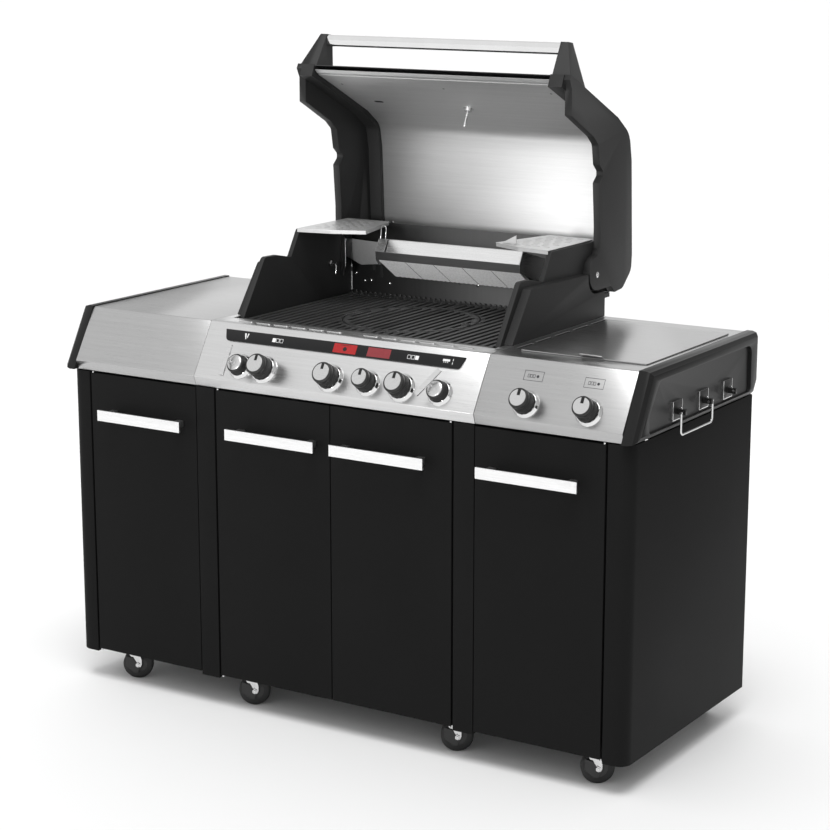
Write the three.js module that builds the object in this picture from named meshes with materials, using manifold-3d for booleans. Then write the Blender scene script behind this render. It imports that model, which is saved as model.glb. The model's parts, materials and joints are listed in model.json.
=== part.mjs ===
// Gas barbecue grill: four-door cabinet on casters, folded steel worktop with a side burner,
// cast firebox with grates and rear burner, and an open double-walled lid.
// Millimetres, +X right, +Y to the back, +Z up. Design zero: middle of the cabinet, door fronts, floor.
import * as THREE from 'three';
import { mergeVertices } from 'three/addons/utils/BufferGeometryUtils.js';
import { ConvexGeometry } from 'three/addons/geometries/ConvexGeometry.js';
import Module from 'manifold-3d';

const wasm = await Module();
wasm.setup();

// ---- driving dimensions ----
const cabinetHalf = 760;          // middle to the outside of a side panel
const moduleHalf = 380;           // middle to the seam between centre and side module
const cabinetDepth = 612;         // door fronts to the back
const sheet = 2;                  // folded steel sheet
const gap = 0.6;                  // assembly gap between resting pieces
const frameBottom = 72;
const frameTop = 783;
const floorZ = 98;                // underside of the base panel, above the wheels
const doorBottom = 80;
const doorTop = 783;
const doorThickness = 18;
const postInner = 704;            // inner edge of a corner post
const postRadius = 30;
const backFlange = 22;            // folded edges at the back
const stripInner = 327;           // inner edge of the strips beside the centre doors
const hingeGap = 5;
const handleHalf = 124;
const handleLow = 674;
const handleHigh = 700;
const ventHalf = 90;              // vent slots in the back panel
const ventPitch = 28;
const ventLow = 640;

const worktopHeight = 929;
const fasciaFoldY = 2;            // lower lip of the fascia
const fasciaFoldZ = 785;
const fasciaLowY = -6;
const fasciaLowZ = 808;
const fasciaTopY = 66;
const rearSkirtZ = 790;
const worktopHalf = 740;          // middle to the joint between worktop and end cap
const endCapWidth = 35;

const deckFrontY = 126;           // front edge of the firebox opening
const deckHalf = 356;             // half width of the firebox opening
const tubHalf = 343;
const tubFrontY = 131;
const tubBackY = 622;
const rearWallTop = 1112;
const grateTop = 926;
const grateDepth = 16;
const insertRadius = 165;
const insertY = 345;

const hingeY = 568;               // lid hinge
const hingeZ = 1034;
const capOuter = 376;             // outside of the lid's side castings
const capWall = 18;
const lidHalf = 324;              // half width of the lid skins
const knuckleRadius = 36.9;

const rearBurnerHalf = 204;       // half width of the rear burner's front edge
const burnerX = [-225, 0, 225];   // main burners
const plateLevel = 1113;          // top of the warming plates
const burnerLid = { x0: 418, x1: 726, y0: 130, y1: 550 };
const knobReach = 44;
const leverReach = 30;

// ---- finishes ----
function finish(color, roughness, metalness) {
  return new THREE.MeshStandardMaterial({ color, roughness, metalness });
}

const blackPaint = finish(0x262627, 0.55, 0.2);
const anthracite = finish(0x3d3d3f, 0.6, 0.3);
const steel = finish(0xc9cacb, 0.32, 1);
const chrome = finish(0xe6e7e8, 0.12, 1);
const castIron = finish(0x2b2b2c, 0.7, 0.4);
const blackGlass = finish(0x0b0b0c, 0.12, 0);
const rubber = finish(0x161616, 0.8, 0);
const silverPlastic = finish(0xbfc0c2, 0.4, 0.6);

const model = new THREE.Group();
const DEG = Math.PI / 180;
const V2 = (x, y) => new THREE.Vector2(x, y);
const V3 = (x, y, z) => new THREE.Vector3(x, y, z);

function addPart(name, geometry, material) {
  const mesh = new THREE.Mesh(geometry, material);
  mesh.name = name;
  model.add(mesh);
  return mesh;
}

// ---- solids ----
function closed(geometry) {
  const bare = geometry.clone();
  bare.deleteAttribute('normal');
  bare.deleteAttribute('uv');
  const merged = mergeVertices(bare, 1e-3);
  const kept = [];
  const index = merged.index.array;
  for (let i = 0; i < index.length; i += 3) {
    const [a, b, c] = index.slice(i, i + 3);
    if (a !== b && b !== c && c !== a) kept.push(a, b, c);
  }
  merged.setIndex(kept);
  return merged;
}

function toSolid(geometry) {
  const merged = closed(geometry);
  return new wasm.Manifold(new wasm.Mesh({
    numProp: 3,
    vertProperties: new Float32Array(merged.attributes.position.array),
    triVerts: new Uint32Array(merged.index.array),
  }));
}

function fromSolid(solid) {
  const mesh = solid.getMesh();
  const geometry = new THREE.BufferGeometry();
  geometry.setAttribute('position', new THREE.BufferAttribute(mesh.vertProperties, mesh.numProp));
  geometry.setIndex(new THREE.BufferAttribute(mesh.triVerts, 1));
  return geometry;
}

function join(...pieces) {
  const solids = pieces.map(toSolid);
  return fromSolid(solids.reduce((sum, next) => sum.add(next)));
}

function cut(body, ...tools) {
  const solids = tools.map(toSolid);
  return fromSolid(solids.reduce((rest, next) => rest.subtract(next), toSolid(body)));
}

function mirrored(geometry) {
  const copy = closed(geometry);
  copy.scale(-1, 1, 1);
  const index = copy.index.array;
  for (let i = 0; i < index.length; i += 3) {
    [index[i], index[i + 1]] = [index[i + 1], index[i]];
  }
  return copy;
}

// Both hands of a part that is drawn on the right.
function addPair(leftName, rightName, geometry, material) {
  addPart(rightName, geometry, material);
  addPart(leftName, mirrored(geometry), material);
}

function box(x0, x1, y0, y1, z0, z1) {
  const geometry = new THREE.BoxGeometry(x1 - x0, y1 - y0, z1 - z0);
  return geometry.translate((x0 + x1) / 2, (y0 + y1) / 2, (z0 + z1) / 2);
}

// A cylinder along 'x', 'y' or 'z' from a start point.
function rod(axis, radius, start, length, sides = 16, endRadius = radius) {
  const geometry = new THREE.CylinderGeometry(endRadius, radius, length, sides);
  geometry.translate(0, length / 2, 0);
  if (axis === 'x') geometry.rotateZ(-90 * DEG);
  if (axis === 'z') geometry.rotateX(90 * DEG);
  return geometry.translate(...start);
}

const axesX = new THREE.Matrix4().makeBasis(V3(0, 1, 0), V3(0, 0, 1), V3(1, 0, 0));
const axesY = new THREE.Matrix4().makeBasis(V3(1, 0, 0), V3(0, 0, 1), V3(0, -1, 0));

function pushed(points, depth) {
  return new THREE.ExtrudeGeometry(new THREE.Shape(points), { depth, bevelEnabled: false });
}

// An outline in (y, z) pushed along X, in (x, z) along Y, in (x, y) along Z.
function alongX(points, x0, x1) {
  return pushed(points, x1 - x0).applyMatrix4(axesX).translate(x0, 0, 0);
}

function alongY(points, y0, y1) {
  return pushed(points, y1 - y0).applyMatrix4(axesY).translate(0, y1, 0);
}

function alongZ(points, z0, z1) {
  return pushed(points, z1 - z0).translate(0, 0, z0);
}

// Corners given as [u, v] or [u, v, radius]; a radius becomes an arc.
function outline(corners, steps = 6) {
  const points = [];
  corners.forEach(([u, v, radius], i) => {
    const here = V2(u, v);
    if (!radius) {
      points.push(here);
      return;
    }
    const before = V2(...corners[(i + corners.length - 1) % corners.length]);
    const after = V2(...corners[(i + 1) % corners.length]);
    const back = before.sub(here).normalize();
    const on = after.sub(here).normalize();
    const half = Math.acos(THREE.MathUtils.clamp(back.dot(on), -1, 1)) / 2;
    const centre = here.clone().addScaledVector(back.clone().add(on).normalize(), radius / Math.sin(half));
    const from = here.clone().addScaledVector(back, radius / Math.tan(half)).sub(centre);
    const to = here.clone().addScaledVector(on, radius / Math.tan(half)).sub(centre);
    let turn = to.angle() - from.angle();
    if (turn > Math.PI) turn -= 2 * Math.PI;
    if (turn < -Math.PI) turn += 2 * Math.PI;
    for (let k = 0; k <= steps; k += 1) {
      points.push(from.clone().rotateAround(V2(0, 0), turn * k / steps).add(centre));
    }
  });
  return points;
}

// A profile of (radius, height) points turned about +Z, faces outward.
function turned(profile, sides = 24) {
  const body = closed(new THREE.LatheGeometry(profile, sides).rotateX(90 * DEG));
  const p = body.attributes.position;
  const index = body.index.array;
  let volume = 0;
  for (let i = 0; i < index.length; i += 3) {
    const [a, b, c] = [0, 1, 2].map((k) => new THREE.Vector3().fromBufferAttribute(p, index[i + k]));
    volume += a.dot(b.cross(c));
  }
  if (volume < 0) {
    for (let i = 0; i < index.length; i += 3) {
      [index[i], index[i + 1]] = [index[i + 1], index[i]];
    }
  }
  return body;
}

// A sheet of the given thickness to the left of an open path.
function fold(path, thickness = sheet) {
  const inner = path.map((point, i) => {
    const before = path[Math.max(i - 1, 0)];
    const after = path[Math.min(i + 1, path.length - 1)];
    const dirIn = i > 0 ? point.clone().sub(before).normalize() : after.clone().sub(point).normalize();
    const dirOut = i < path.length - 1 ? after.clone().sub(point).normalize() : dirIn;
    const normalIn = V2(-dirIn.y, dirIn.x);
    const normalOut = V2(-dirOut.y, dirOut.x);
    const mitre = normalIn.clone().add(normalOut).normalize();
    return point.clone().addScaledVector(mitre, thickness / mitre.dot(normalIn));
  });
  return [...path, ...inner.reverse()];
}

// ---- cabinet ----
const doorX = [[-postInner + hingeGap, -moduleHalf - 1], [-stripInner + hingeGap, -1.2],
  [1.2, stripInner - hingeGap], [moduleHalf + 1, postInner - hingeGap]];
const doorNames = ['left_door', 'centre_left_door', 'centre_right_door', 'right_door'];
const handleX = [-527, -146, 146, 527];

function buildCabinet() {
  const sidePath = outline([[postInner, backFlange], [postInner, 0], [cabinetHalf, 0, postRadius],
    [cabinetHalf, cabinetDepth], [cabinetHalf - backFlange, cabinetDepth]]);
  addPair('left_side_panel', 'right_side_panel', alongZ(fold(sidePath), frameBottom, frameTop), blackPaint);

  const wallPath = outline([[stripInner, 16], [stripInner, 0], [moduleHalf - 1, 0],
    [moduleHalf - 1, cabinetDepth - 5], [moduleHalf - 20, cabinetDepth - 5]]);
  const wall = cut(alongZ(fold(wallPath), frameBottom, frameTop), box(320, 390, 17, 620, 70, floorZ + 3.6));
  addPair('left_partition', 'right_partition', wall, blackPaint);

  addPart('base_panel', box(-757, 757, 26, 607, floorZ, floorZ + 3), blackPaint);

  let back = box(-757, 757, 607.6, 609.4, 77, frameTop);
  const vents = [];
  for (const x of [-570, 0, 570]) {
    for (let k = 0; k < 3; k += 1) {
      const low = ventLow - ventPitch * k;
      vents.push(box(x - ventHalf, x + ventHalf, 600, 620, low, low + 10));
    }
  }
  back = cut(back, ...vents, box(-176, 176, 600, 620, 722, 775));
  addPart('back_panel', back, blackPaint);
}

function buildDoors() {
  doorX.forEach(([x0, x1], i) => {
    const top = doorTop - 3;
    const skin = box(x0, x1, 0, doorThickness, doorBottom, top);
    const hollow = box(x0 + sheet, x1 - sheet, sheet, doorThickness + 1, doorBottom + sheet, top - sheet);
    addPart(doorNames[i], cut(skin, hollow), blackPaint);

    const x = handleX[i];
    const bar = box(x - handleHalf, x + handleHalf, -38, -32, handleLow, handleHigh);
    const feet = [x - handleHalf + 24, x + handleHalf - 24];
    const posts = feet.map((at) => box(at - 9, at + 9, -33, -0.5, handleLow + 5, handleHigh - 5));
    addPart(doorNames[i] + '_handle', join(bar, ...posts), steel);
  });
}

// ---- worktop ----
const fasciaCorners = [[fasciaTopY, worktopHeight, 5], [fasciaLowY, fasciaLowZ, 3],
  [fasciaFoldY, fasciaFoldZ], [fasciaFoldY + 12, fasciaFoldZ]];

function buildWorktops() {
  const rear = [[cabinetDepth, rearSkirtZ], [cabinetDepth, worktopHeight, 4]];
  const profile = fold(outline([...rear, ...fasciaCorners], 3));
  const top = alongX(profile, moduleHalf + 0.4, worktopHalf);
  addPart('left_worktop', mirrored(top), steel);
  const { x0, x1, y0, y1 } = burnerLid;
  const burnerHole = box(x0 + 14, x1 - 14, y0 + 14, y1 - 14, 900, 950);
  const slots = [0, 1, 2, 3, 4].map((k) => box(396, 404, 150 + 88 * k, 218 + 88 * k, 915, 940));
  addPart('right_worktop', cut(top, burnerHole, ...slots), steel);
}

function buildControlFascia() {
  const front = fold(outline([[deckFrontY, 905], [deckFrontY, worktopHeight, 3], ...fasciaCorners], 3));
  const half = moduleHalf - 0.4;
  const runner = box(deckHalf + 3, half, deckFrontY - 2, cabinetDepth, worktopHeight - sheet, worktopHeight);
  const skirt = box(-half, half, cabinetDepth - sheet, cabinetDepth, rearSkirtZ, worktopHeight);
  const slots = [];
  for (let k = -6; k <= 6; k += 1) {
    if (k !== 0) slots.push(box(50 * k - 17, 50 * k + 17, 92, 98, 915, 940));
  }
  const body = join(alongX(front, -half, half), runner, mirrored(runner), skirt);
  addPart('control_fascia', cut(body, ...slots), steel);
}

// Everything on the fascia is drawn flat: X along it, Y up the slope, Z out of the steel.
const slope = new THREE.Group();
slope.position.set(0, fasciaLowY, fasciaLowZ);
slope.rotation.x = Math.atan2(worktopHeight - fasciaLowZ, fasciaTopY - fasciaLowY);

function addOnSlope(name, geometry, material, x = 0, y = 0, turn = 0) {
  const mesh = new THREE.Mesh(geometry, material);
  mesh.name = name;
  mesh.position.set(x, y, 0.5);
  mesh.rotation.z = turn;
  slope.add(mesh);
}

const knobY = 37;
const knobs = [
  { name: 'left_lever_knob', x: -257, radius: 24, face: 19, lever: 0 },
  { name: 'left_burner_knob', x: -190, radius: 27, face: 22 },
  { name: 'middle_burner_knob', x: -6, radius: 27, face: 22 },
  { name: 'rear_burner_knob', x: 96, radius: 24, face: 19.5 },
  { name: 'right_burner_knob', x: 185, radius: 27, face: 22 },
  { name: 'right_lever_knob', x: 285, radius: 24, face: 19, lever: -34 },
  { name: 'side_burner_front_knob', x: 500, radius: 25, face: 20.5 },
  { name: 'side_burner_rear_knob', x: 652, radius: 25, face: 20.5 },
];

function buildControls() {
  const strip = outline([[-328, 124], [-319, 96, 10], [316, 96, 10], [326, 124]], 4);
  addOnSlope('control_strip', alongZ(strip, 0, 3), blackGlass);
  for (const knob of knobs) {
    const height = knob.lever === undefined ? knobReach : leverReach;
    const profile = [V2(0, 0), V2(knob.radius, 0), V2(knob.radius, 10), V2(knob.radius - 1.5, height - 5),
      V2(knob.face, height), V2(0, height)];
    let body = turned(profile, 22);
    if (knob.lever !== undefined) {
      const stud = rod('z', 5, [-14, 0, height - 2], 14, 12);
      const bar = box(-22, -10, -38, 38, height + 8, height + 13);
      body = join(body, stud, bar);
    }
    addOnSlope(knob.name, body, silverPlastic, knob.x, knobY, (knob.lever ?? 0) * DEG);
  }
  model.add(slope);
}

// ---- end caps, hooks and bail ----
const hookY = [185, 316, 442];
const hookZ = 829;
const bailX = 789;
const bailZ = 825;
const wire = 2.5;

function buildEndCaps() {
  const side = [V2(-14, 786), V2(64, 931), V2(614, 931), V2(614, 818), V2(594, 786)];
  const round = 20;
  const shape = new THREE.Shape(side);
  const depth = 100;
  const options = {
    depth,
    bevelThickness: round,
    bevelSize: round,
    bevelOffset: -round,
    bevelSegments: 3,
  };
  const outerX = worktopHalf + endCapWidth;
  const block = new THREE.ExtrudeGeometry(shape, options).applyMatrix4(axesX);
  block.translate(outerX - round - depth, 0, 0);
  const inner = box(0, worktopHalf + 0.4, -100, 700, 700, 1000);
  const recessCorners = [[48, 800, 8], [566, 800, 8], [566, 908, 20], [96, 908, 20], [48, 840, 20]];
  const recess = alongX(outline(recessCorners, 4), outerX - 7, outerX + 5);
  const shell = cut(block, inner, recess);
  addPart('left_end_cap', mirrored(shell), anthracite);
  const plates = hookY.map((y) => {
    const plate = box(outerX - 8, outerX, y - 21, y + 21, hookZ - 20, hookZ + 20);
    const eye = cut(box(outerX - 1, bailX + 6, y - 4, y + 4, bailZ - 6, bailZ + 6),
      rod('y', 3.2, [bailX, y - 10, bailZ], 20, 12));
    return join(plate, eye);
  });
  addPart('right_end_cap', join(shell, ...plates), anthracite);
}

// A wire U that hangs from the first two eyes.
function buildBail() {
  const [y0, y1] = [hookY[0] - 14, hookY[1] + 12];
  const low = bailZ - 48;
  const bend = 9;
  const path = new THREE.CurvePath();
  path.add(new THREE.LineCurve3(V3(bailX, y0, bailZ), V3(bailX, y0, low + bend)));
  path.add(new THREE.QuadraticBezierCurve3(
    V3(bailX, y0, low + bend), V3(bailX, y0, low), V3(bailX, y0 + bend, low)));
  path.add(new THREE.LineCurve3(V3(bailX, y0 + bend, low), V3(bailX, y1 - bend, low)));
  path.add(new THREE.QuadraticBezierCurve3(
    V3(bailX, y1 - bend, low), V3(bailX, y1, low), V3(bailX, y1, low + bend)));
  path.add(new THREE.LineCurve3(V3(bailX, y1, low + bend), V3(bailX, y1, bailZ)));
  const ring = [0, 60, 120, 180, 240, 300].map((turn) => V2(wire, 0).rotateAround(V2(0, 0), turn * DEG));
  const loop = new THREE.ExtrudeGeometry(new THREE.Shape(ring), { steps: 26, extrudePath: path });
  const pins = [y0 - wire, y1 - 19.5].map((y) => rod('y', wire, [bailX, y, bailZ], 22, 10));
  addPart('wire_bail', join(loop, ...pins), chrome);
}

// ---- side burner ----
function buildSideBurner() {
  const { x0, x1, y0, y1 } = burnerLid;
  const plate = alongZ(outline([[x0, y0, 6], [x1, y0, 6], [x1, y1, 6], [x0, y1, 6]], 3), 929.6, 932);
  const middle = (x0 + x1) / 2 + 25;
  const lipPath = [V2(y0 + 2, 930.2), V2(y0 - 6, 933.5), V2(y0 - 12, 939)];
  const lip = alongX(fold(lipPath, -2), middle - 27, middle + 27);
  addPart('side_burner_lid', join(plate, lip), steel);

  const [px0, px1, py0, py1] = [x0 + 16, x1 - 16, y0 + 16, y1 - 16];
  const flange = box(px0 - 10, px1 + 10, py0 - 10, py1 + 10, 924.4, 926.6);
  const tray = box(px0, px1, py0, py1, 872, 926.6);
  const hollow = box(px0 + sheet, px1 - sheet, py0 + sheet, py1 - sheet, 874, 940);
  const [cx, cy] = [(px0 + px1) / 2, (py0 + py1) / 2];
  const head = turned([V2(0, 0), V2(40, 0), V2(40, 8), V2(52, 14), V2(52, 24), V2(44, 28), V2(0, 30)], 18)
    .translate(cx, cy, 873);
  const supports = [];
  for (const dx of [-120, -60, 60, 120]) {
    supports.push(box(cx + dx - 3, cx + dx + 3, py0 + 1, py1 - 1, 906, 922));
  }
  supports.push(box(px0 + 1, px1 - 1, cy - 110, cy - 104, 906, 922));
  supports.push(box(px0 + 1, px1 - 1, cy + 104, cy + 110, 906, 922));
  for (const dx of [-1, 1]) {
    supports.push(box(cx + dx * 88 - 30, cx + dx * 88 + 30, cy - 3, cy + 3, 910, 922));
  }
  const pan = cut(join(flange, tray), hollow);
  addPart('side_burner', join(pan, head, ...supports), castIron);
}

// ---- firebox ----
function buildFirebox() {
  const knuckleRoom = 521;
  const lower = [[164, 929.5], [249, 1045, 12], [knuckleRoom, 1040, 4], [knuckleRoom, 990, 40],
    [606, 990], [606, 929.5]];
  const upper = [[134, 800], [147, 929], [234, 1060, 14], [284, 1059, 6], [341, 1047, 4], [380, 1111, 8],
    [606, 1109], [606, 800]];
  const inner = alongX(outline(upper, 3), tubHalf + 1.5, deckHalf + 1);
  const outer = alongX(outline(lower, 5), deckHalf + 0.5, moduleHalf - 2);
  const pin = rod('x', 6, [deckHalf, hingeY, hingeZ], 14, 20);
  addPair('firebox_left_side', 'firebox_right_side', join(inner, outer, pin), anthracite);

  const trough = outline([[tubFrontY, 922], [tubFrontY, 842], [340, 806], [400, 806], [606, 842],
    [606, rearWallTop - 3]]);
  const tub = alongX(fold(trough, 2.5), -tubHalf, tubHalf);
  addPart('firebox_tub', cut(tub, box(-90, 90, 348, 392, 780, 830)), blackPaint);
}

function buildGrates() {
  const [y0, y1] = [tubFrontY + 6, 594];
  const low = grateTop - grateDepth;
  const pitch = 21.6;
  const barHalf = 5.2;
  const middle = (y0 + y1) / 2;
  const hole = turned([V2(0, -40), V2(insertRadius, -40), V2(insertRadius, 40), V2(0, 40)], 30)
    .translate(0, insertY, grateTop);
  const bars = [box(1, 340, y0, y0 + 12, low, grateTop), box(1, 340, y1 - 12, y1, low, grateTop)];
  for (let k = 0; k < 16; k += 1) {
    const x = 1 + barHalf + k * pitch * 0.999;
    bars.push(box(x - barHalf, x + barHalf, y0 + 6, y1 - 6, low + 2, grateTop));
  }
  bars.push(box(1, 340, middle - 130, middle - 124, low, grateTop - 7));
  bars.push(box(1, 340, middle + 124, middle + 130, low, grateTop - 7));
  const rim = turned([V2(0, -grateDepth), V2(insertRadius + 10, -grateDepth), V2(insertRadius + 10, -1),
    V2(0, -1)], 30).translate(0, insertY, grateTop);
  const halfRim = cut(rim, box(-300, 1, 0, 700, 800, 1000));
  addPair('left_grate', 'right_grate', cut(join(...bars, halfRim), hole), castIron);

  const radius = insertRadius - 2.5;
  const disc = turned([V2(0, -14), V2(radius, -14), V2(radius, 0), V2(0, 0)], 30);
  disc.translate(0, insertY, grateTop);
  const gaps = [];
  const gapHalf = 5.6;
  for (let k = -7; k <= 6; k += 1) {
    const x = (k + 0.5) * pitch;
    const reach = Math.sqrt((radius - 9) ** 2 - (Math.abs(x) + gapHalf) ** 2);
    gaps.push(box(x - gapHalf, x + gapHalf, insertY - reach, insertY + reach, 900, 940));
  }
  const tie = box(-150, 150, insertY - 4, insertY + 4, grateTop - 14, grateTop - 7);
  addPart('round_grate_insert', join(cut(disc, ...gaps), tie), castIron);
}

function buildHeat() {
  const tubes = burnerX.map((x) => box(x - 21, x + 21, 160, 580, 858, 880));
  addPart('main_burners', join(...tubes, box(-240, 240, 560, 584, 862, 874)), steel);

  const covers = burnerX.map((x) => alongY(
    fold([V2(x + 62, 886), V2(x, 902), V2(x - 62, 886)], 1.6), 155, 585));
  const rails = [546, 170].map((y) => box(-290, 290, y, y + 6, 886, 889));
  addPart('flame_tamers', join(...covers, ...rails), steel);

  const front = [[503, 1030], [500, 1052], [516, 1081]];
  const back = [[600, 1050], [600, 974], [590, 974]];
  const corners = [];
  for (const side of [-1, 1]) {
    for (const [y, z] of front) corners.push(V3(side * rearBurnerHalf, y, z));
    for (const [y, z] of back) corners.push(V3(side * (rearBurnerHalf + 36), y, z));
  }
  addPart('rear_burner', new ConvexGeometry(corners), steel);

  const plate = [[350, 374], [262, 390], [182, 426], [226, 598], [350, 598]].map(([x, y]) => V2(x, y));
  const deck = alongZ(plate, plateLevel - 1.4, plateLevel);
  const lipPath = [V2(349, 375), V2(262.5, 391), V2(183, 427), V2(226.5, 597)];
  const lip = alongZ(fold(lipPath, -1.4), plateLevel - 9, plateLevel);
  const clear = box(342, 360, 300, 620, 1000, plateLevel - 1.4);
  addPair('left_warming_plate', 'right_warming_plate', cut(join(deck, lip), clear), steel);

  const tray = cut(box(-160, 160, 190, 602, 728, 770), box(-157, 157, 193, 599, 731, 771));
  const grip = box(-60, 60, 601, 622, 762, 766);
  addPart('grease_tray', join(tray, grip), steel);
}

// ---- lid, drawn open ----
// Outer contour in (y, z) from the rear bottom edge, over the shoulder, to the front lip.
const lidContour = [[662, 978], [700, 984, 26], [744, 1022, 34], [747, 1060], [735, 1286],
  [722, 1352, 60], [660, 1395], [503, 1470], [420, 1508]];

function insetContour(corners, distance) {
  const path = outline(corners, 6);
  return fold(path, distance).slice(path.length).reverse();
}

function buildLid() {
  const contour = outline(lidContour, 6);
  const flange = alongX(fold(contour, 30), lidHalf + 0.6, deckHalf + 4);
  const wallCorners = [[660, 980], ...lidContour.slice(1, -1),
    [424, 1508], [418, 1497], [429, 1475], [429, 1416],
    [538, 1360, 14], [562, 1340, 14], [571, 1291, 4], [588, 1276, 8], [588, 1264, 8], [571, 1249, 4],
    [580, 1144], [580, 1082, 20], [531, 1071, knuckleRadius], [531, 997, knuckleRadius], [640, 997, 6]];
  const wall = alongX(outline(wallCorners, 5), capOuter - capWall, capOuter);
  const bracket = new ConvexGeometry([
    V3(lidHalf + 1, 421, 1494), V3(lidHalf + 1, 500, 1462), V3(capOuter, 421, 1494), V3(capOuter, 500, 1462),
    V3(322, 472, 1578), V3(322, 494, 1575), V3(341, 472, 1578), V3(341, 494, 1575),
  ]);
  const bore = rod('x', 6.5, [capOuter - capWall - 1, hingeY, hingeZ], 14, 20);
  addPair('lid_left_side', 'lid_right_side', cut(join(flange, wall, bracket), bore), anthracite);

  const skinPath = insetContour(lidContour, 1.5);
  addPart('lid_outer_skin', alongX(fold(skinPath, 2), -lidHalf, lidHalf), blackPaint);
  const linerPath = insetContour(lidContour, 16).slice(0, -1);
  linerPath.push(V2(436, 1483));
  addPart('lid_liner', alongX(fold(linerPath, 1.5), -lidHalf, lidHalf), steel);

  const tube = outline([[470, 1548, 7], [490, 1548, 7], [490, 1576, 7], [470, 1576, 7]], 4);
  addPart('lid_handle', alongX(tube, -321.4, 321.4), chrome);
}

// ---- casters ----
const wheelRadius = 37.5;
const casterTrail = 20;
const casterTurn = -57;           // all casters stand turned to the right

function buildCasters() {
  const places = [
    ['front_left_caster', -645, 52], ['front_centre_left_caster', -285, 52],
    ['front_centre_right_caster', 285, 52], ['front_right_caster', 645, 52],
    ['rear_left_caster', -645, 566], ['rear_right_caster', 645, 566],
  ];
  const tyre = turned([V2(4.4, -12), V2(35, -12), V2(wheelRadius, -8), V2(wheelRadius, 8), V2(35, 12),
    V2(4.4, 12), V2(4.4, -12)], 24).rotateY(90 * DEG);
  const top = floorZ - 0.4;
  const axleZ = wheelRadius - top;
  const cheek = outline([[-17, -10], [17, -10], [casterTrail + 9, axleZ + 12],
    [casterTrail + 9, axleZ - 9, 9], [casterTrail - 9, axleZ - 9, 9], [casterTrail - 10, axleZ + 10]], 2);
  for (const [name, x, y] of places) {
    const swivel = new THREE.Group();
    swivel.position.set(x, y, top);
    swivel.rotation.z = casterTurn * DEG;
    const cheeks = [-17.5, 15].map((x0) => alongX(cheek, x0, x0 + 2.5));
    const crown = box(-17.5, 17.5, -17, 17, -13, -9);
    const head = rod('z', 20, [0, 0, -9.5], 9.5, 16);
    const axle = rod('x', 4, [-17, casterTrail, axleZ], 34, 10);
    const fork = new THREE.Mesh(join(crown, head, axle, ...cheeks), chrome);
    fork.name = name + '_fork';
    const wheel = new THREE.Mesh(tyre.clone(), rubber);
    wheel.name = name + '_wheel';
    wheel.position.set(0, casterTrail, axleZ);
    swivel.add(fork, wheel);
    model.add(swivel);
  }
}

buildCabinet();
buildDoors();
buildWorktops();
buildControlFascia();
buildControls();
buildEndCaps();
buildBail();
buildSideBurner();
buildFirebox();
buildGrates();
buildHeat();
buildLid();
buildCasters();

// The origin is under the middle of the whole object, on the floor.
const bounds = new THREE.Box3().setFromObject(model);
model.position.set(-(bounds.min.x + bounds.max.x) / 2, -(bounds.min.y + bounds.max.y) / 2, -bounds.min.z);

export default model;
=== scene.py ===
import json
import math

import bmesh
import bpy
from mathutils import Matrix, Vector

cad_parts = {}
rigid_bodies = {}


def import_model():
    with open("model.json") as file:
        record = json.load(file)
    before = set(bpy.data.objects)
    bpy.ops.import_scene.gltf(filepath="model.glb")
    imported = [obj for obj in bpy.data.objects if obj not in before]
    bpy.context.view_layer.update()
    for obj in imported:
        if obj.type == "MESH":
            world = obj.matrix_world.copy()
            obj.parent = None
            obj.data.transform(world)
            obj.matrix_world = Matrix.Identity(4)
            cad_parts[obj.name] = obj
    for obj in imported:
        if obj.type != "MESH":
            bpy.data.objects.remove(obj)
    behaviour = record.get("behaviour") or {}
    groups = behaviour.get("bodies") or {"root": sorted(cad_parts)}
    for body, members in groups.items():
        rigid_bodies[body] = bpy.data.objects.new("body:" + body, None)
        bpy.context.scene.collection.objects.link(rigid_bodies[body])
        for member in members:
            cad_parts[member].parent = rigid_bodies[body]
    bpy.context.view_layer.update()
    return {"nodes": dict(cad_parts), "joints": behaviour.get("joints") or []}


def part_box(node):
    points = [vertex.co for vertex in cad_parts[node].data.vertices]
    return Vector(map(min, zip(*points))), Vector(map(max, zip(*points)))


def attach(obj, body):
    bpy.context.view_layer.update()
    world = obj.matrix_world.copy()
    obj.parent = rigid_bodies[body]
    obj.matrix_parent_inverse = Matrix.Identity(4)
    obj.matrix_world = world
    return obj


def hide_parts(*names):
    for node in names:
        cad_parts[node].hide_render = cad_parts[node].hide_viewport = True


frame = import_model()
print("frame loaded:", len(frame["nodes"]), "nodes")

mm = 0.001
bodyOf = {node: cad.parent.name.split(":", 1)[1] for node, cad in frame["nodes"].items()}

# The grill's own millimetres start at the cabinet's middle, the door faces and the floor.
cabinetLow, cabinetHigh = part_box("back_panel")
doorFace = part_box("left_door")[0].y
grill = Matrix.Translation(((cabinetLow.x + cabinetHigh.x) / 2, doorFace, 0)) @ Matrix.Scale(mm, 4)
toGrill = grill.inverted()
hingeAt = {joint["child"]: toGrill @ Vector(joint["pos_m"]) for joint in frame["joints"] if "pos_m" in joint}

# The control panel slopes: local X runs along it, Y up the slope, Z out of the steel.
panelPlane = {"foot": (0, -6, 808), "rise": 121, "run": 72}
panel = (grill @ Matrix.Translation(panelPlane["foot"])
         @ Matrix.Rotation(math.atan2(panelPlane["rise"], panelPlane["run"]), 4, "X"))
facingFront = Matrix.Rotation(math.radians(90), 4, "X")     # local Z looks to the front
facingRight = Matrix.Rotation(math.radians(90), 4, "Y")     # local Z looks to the right
facingLeft = Matrix.Rotation(math.radians(-90), 4, "Y")


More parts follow.
